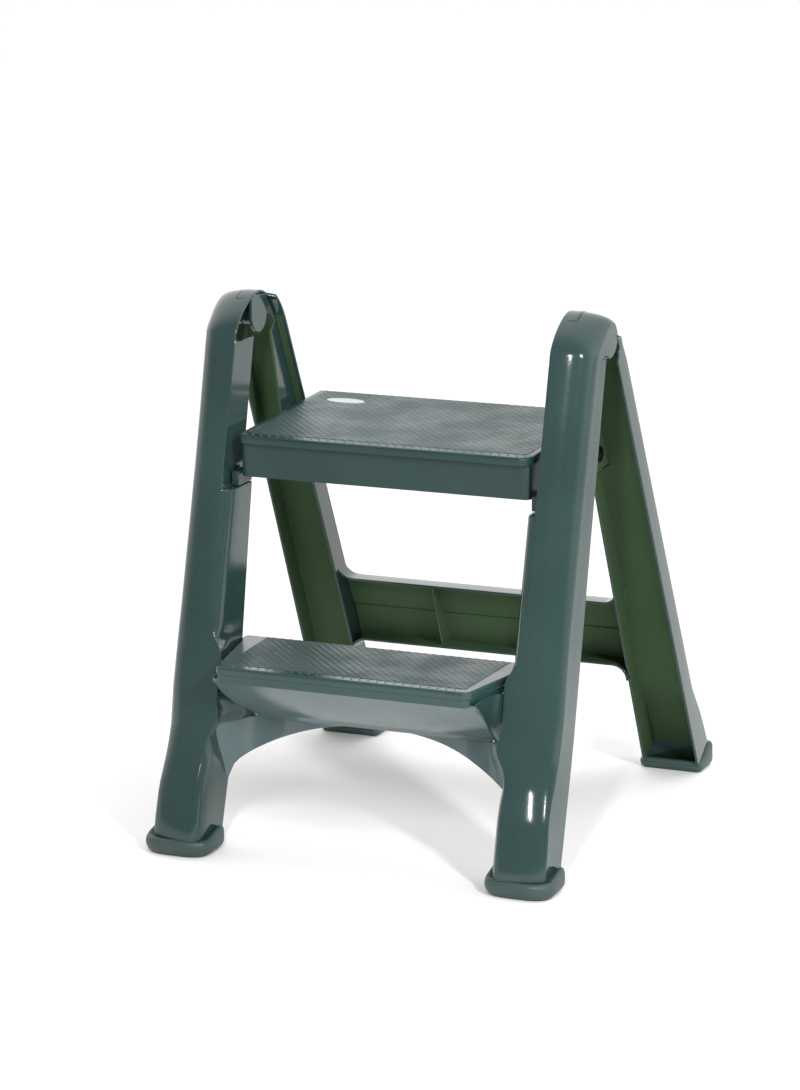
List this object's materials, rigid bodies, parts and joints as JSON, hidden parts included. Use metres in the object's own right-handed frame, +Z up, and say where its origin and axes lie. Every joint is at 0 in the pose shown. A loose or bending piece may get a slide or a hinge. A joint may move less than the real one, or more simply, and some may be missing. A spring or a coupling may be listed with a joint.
{
  "type": "step stool",
  "caption": "Folding moulded-plastic step stool: a front frame with the lower step, a hinged rear frame with a ribbed crossbar, a pivoting top step and rubber feet.",
  "frame": {"origin": "on the floor, at the centre of the box around the unfolded stool", "axes": "+X to the right-hand side of someone facing the back of the stool from its front, +Y from the front feet to the rear feet, +Z up"},
  "size_m": [0.471, 0.548, 0.578],
  "materials": {
    "frame_plastic": "gloss dark blue-green, fine orange peel",
    "tread_plastic": "satin dark blue-green, knurled tread",
    "foot_rubber": "matt dark blue-green",
    "pin_steel": "blackened drawn steel",
    "badge_plastic": "pale grey, blank"
  },
  "bodies": {
    "front": {"front_frame": "frame_plastic", "front_foot_left": "foot_rubber", "front_foot_right": "foot_rubber", "hinge_pin_left": "pin_steel", "hinge_pin_right": "pin_steel"},
    "rear": {"rear_frame": "frame_plastic", "rear_foot_left": "foot_rubber", "rear_foot_right": "foot_rubber"},
    "step": {"top_step": "tread_plastic", "badge": "badge_plastic", "step_pin_left": "pin_steel", "step_pin_right": "pin_steel", "step_pin_clip_left": "pin_steel", "step_pin_clip_right": "pin_steel"}
  },
  "joints": [
    {"name": "frame_fold", "type": "hinge", "parent": "front", "child": "rear", "pos_m": [0, -0.071, 0.552], "axis": [-1, 0, 0], "range_deg": [0, 38]},
    {"name": "step_fold", "type": "hinge", "parent": "rear", "child": "step", "pos_m": [0, 0.012, 0.41], "axis": [-1, 0, 0], "range_deg": [0, 68]}
  ],
  "couplings": [
    {"joint": "step_fold", "follows": "frame_fold", "ratio": 1.78}
  ]
}
